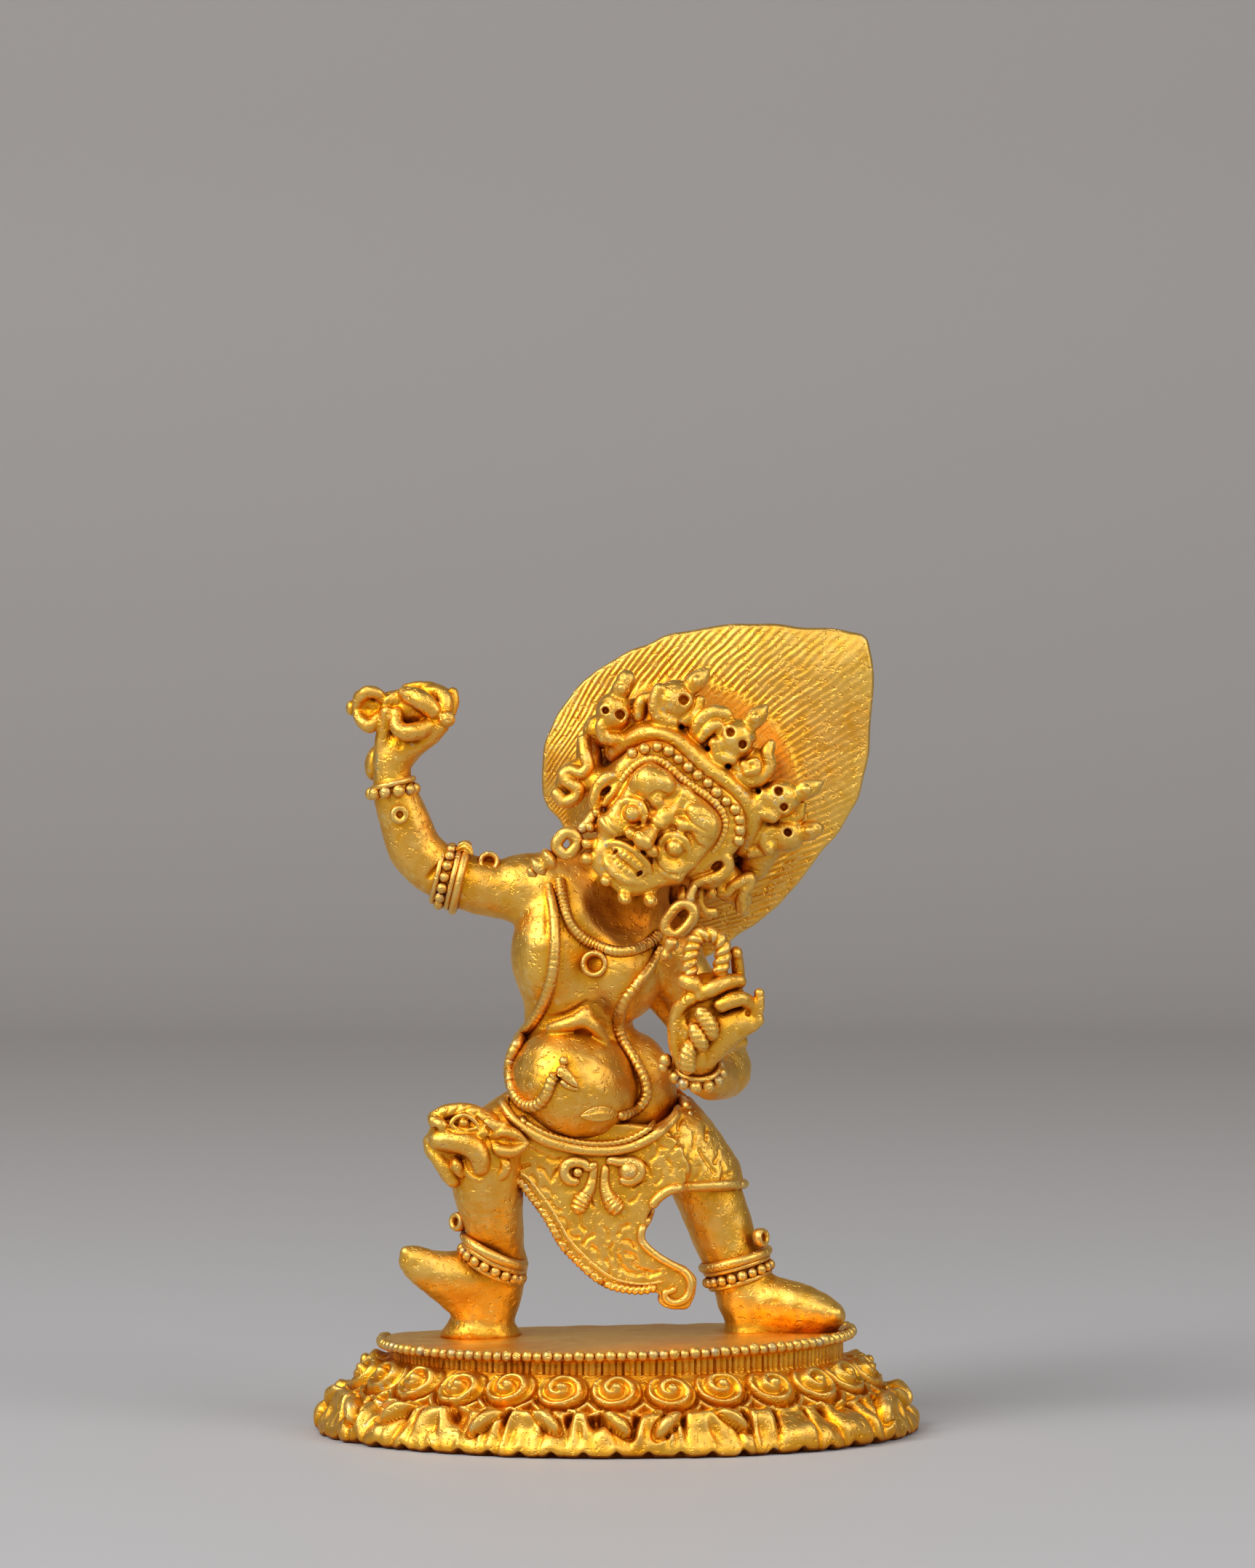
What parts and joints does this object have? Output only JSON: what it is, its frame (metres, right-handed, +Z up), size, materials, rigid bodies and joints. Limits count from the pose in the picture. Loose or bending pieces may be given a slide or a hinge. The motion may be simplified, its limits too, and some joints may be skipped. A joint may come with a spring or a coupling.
{
  "type": "vajrapani statue",
  "caption": "Miniature gilt-brass statue of a wrathful striding deity with a raised vajra, a noose, a skull crown and a flaming nimbus, cast in one with a lotus base.",
  "frame": {"origin": "centre of the bounding box on the underside of the lotus base", "axes": "+Z up, the figure faces -Y, its raised arm is towards -X"},
  "size_m": [0.0432, 0.0226, 0.0583],
  "materials": {
    "gilt_brass": "satin gilding over cast brass, darker and more orange in the recesses"
  },
  "bodies": {
    "root": {"vajrapani_statue": "gilt_brass"}
  },
  "joints": []
}
